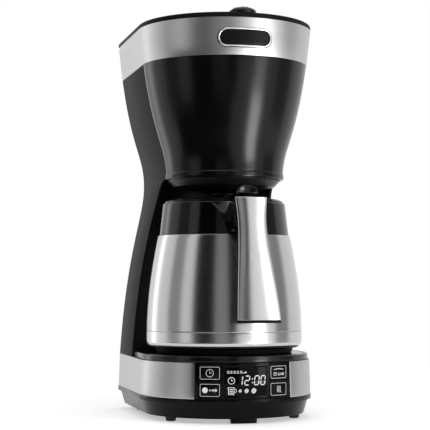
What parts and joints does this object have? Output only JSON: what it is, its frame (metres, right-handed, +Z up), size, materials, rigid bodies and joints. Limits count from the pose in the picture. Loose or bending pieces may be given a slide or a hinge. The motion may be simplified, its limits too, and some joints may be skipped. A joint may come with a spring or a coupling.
{
  "type": "drip coffee maker",
  "caption": "Drip coffee maker with a waisted glossy black body, steel bands, a front control panel and a steel vacuum carafe with a steel handle.",
  "frame": {"origin": "centre of the part's box at floor level", "axes": "+Z up, +X to the viewer's right when the front is seen, the front with the carafe's handle faces -Y"},
  "size_m": [0.175, 0.254, 0.3981],
  "materials": {
    "black_gloss": "glossy",
    "black_satin": "satin",
    "brushed_steel": "brushed",
    "bright_metal": "polished",
    "rubber": "matte",
    "silicone": "matte",
    "grey_plastic": "satin",
    "filter_mesh": "satin",
    "clear_plastic": "translucent",
    "aluminium": "satin",
    "circuit_board": "glossy",
    "display": "glossy"
  },
  "bodies": {
    "root": {"base_pan": "black_satin", "feet": "rubber", "base_screws": "bright_metal", "base_frame": "black_satin", "base_band": "brushed_steel", "base_deck": "black_gloss", "control_panel": "black_gloss", "display_window": "black_gloss", "key_switches": "grey_plastic", "control_board": "circuit_board", "board_clips": "black_satin", "display_module": "display", "cord_inlet": "black_satin", "heater": "aluminium", "heater_tube": "aluminium", "heater_posts": "aluminium", "thermostats": "aluminium", "check_valve": "grey_plastic", "cold_hose": "silicone", "riser_hose": "silicone", "column_front": "black_gloss", "rear_housing": "black_satin", "level_window": "clear_plastic", "water_tank": "clear_plastic", "funnel_shell": "black_gloss", "brew_floor": "black_satin", "funnel_ring": "black_gloss", "top_band": "brushed_steel", "top_frame": "black_satin", "badge_rim": "bright_metal", "badge_plate": "black_gloss", "lid_pin": "bright_metal", "riser_nozzle": "grey_plastic"},
    "lid": {"lid": "black_gloss", "lid_knob": "black_satin", "shower_channel": "grey_plastic"},
    "basket": {"filter_basket": "grey_plastic", "drip_spring": "bright_metal"},
    "filter": {"permanent_filter": "filter_mesh"},
    "drip_stop": {"drip_valve": "grey_plastic"},
    "carafe": {"flask_outer": "brushed_steel", "flask_cup": "brushed_steel", "carafe_foot": "black_satin", "flask_inner": "brushed_steel", "carafe_collar": "black_gloss", "handle_cover": "brushed_steel", "handle_core": "black_satin", "handle_screws": "bright_metal"},
    "carafe_top": {"carafe_lid": "black_gloss", "lid_seal": "silicone", "lever_pin": "bright_metal", "pour_spring": "bright_metal"},
    "lever": {"thumb_lever": "black_gloss"},
    "pour_plug": {"pour_valve": "grey_plastic"},
    "clock_button": {"clock_key": "black_gloss"},
    "aroma_button": {"aroma_key": "black_gloss"},
    "power_button": {"power_key": "black_gloss"},
    "descale_button": {"descale_key": "black_gloss"}
  },
  "joints": [
    {"name": "lid_hinge", "type": "hinge", "parent": "root", "child": "lid", "pos_m": [0, 0.1235, 0.3885], "axis": [-1, 0, 0], "range_deg": [0, 100]},
    {"name": "basket_lift", "type": "slide", "parent": "root", "child": "basket", "axis": [0, 0, 1], "range_m": [0, 0.06]},
    {"name": "filter_lift", "type": "slide", "parent": "basket", "child": "filter", "axis": [0, 0, 1], "range_m": [0, 0.03]},
    {"name": "drip_lift", "type": "slide", "parent": "basket", "child": "drip_stop", "axis": [0, 0, 1], "range_m": [0, 0.004], "stiffness_N_per_m": 200, "springref_m": -0.002, "deforming": ["drip_spring"]},
    {"name": "carafe_slide", "type": "slide", "parent": "root", "child": "carafe", "axis": [0, -1, 0], "range_m": [0, 0.2]},
    {"name": "carafe_lid_turn", "type": "hinge", "parent": "carafe", "child": "carafe_top", "pos_m": [0, 0.009, 0.2125], "axis": [0, 0, 1], "range_deg": [0, 60]},
    {"name": "lever_press", "type": "hinge", "parent": "carafe_top", "child": "lever", "pos_m": [0, -0.041, 0.2161], "axis": [1, 0, 0], "range_deg": [0, 5.5], "stiffness_Nm_per_rad": 0.3, "springref_deg": -2.86},
    {"name": "plug_lift", "type": "slide", "parent": "carafe_top", "child": "pour_plug", "axis": [0, 0, 1], "range_m": [0, 0.0025], "deforming": ["pour_spring"]},
    {"name": "clock_press", "type": "slide", "parent": "root", "child": "clock_button", "axis": [0.3939, 0.9191, 0], "range_m": [0, 0.0008], "stiffness_N_per_m": 400, "springref_m": -0.001},
    {"name": "aroma_press", "type": "slide", "parent": "root", "child": "aroma_button", "axis": [0.3939, 0.9191, 0], "range_m": [0, 0.0008], "stiffness_N_per_m": 400, "springref_m": -0.001},
    {"name": "power_press", "type": "slide", "parent": "root", "child": "power_button", "axis": [-0.3939, 0.9191, 0], "range_m": [0, 0.0008], "stiffness_N_per_m": 400, "springref_m": -0.001},
    {"name": "descale_press", "type": "slide", "parent": "root", "child": "descale_button", "axis": [-0.3939, 0.9191, 0], "range_m": [0, 0.0008], "stiffness_N_per_m": 400, "springref_m": -0.001}
  ],
  "couplings": [
    {"joint": "basket_lift", "follows": "lid_hinge", "m_per_rad": 0.0343},
    {"joint": "filter_lift", "follows": "lid_hinge", "m_per_rad": 0.0171},
    {"joint": "plug_lift", "follows": "lever_press", "m_per_rad": 0.026}
  ]
}
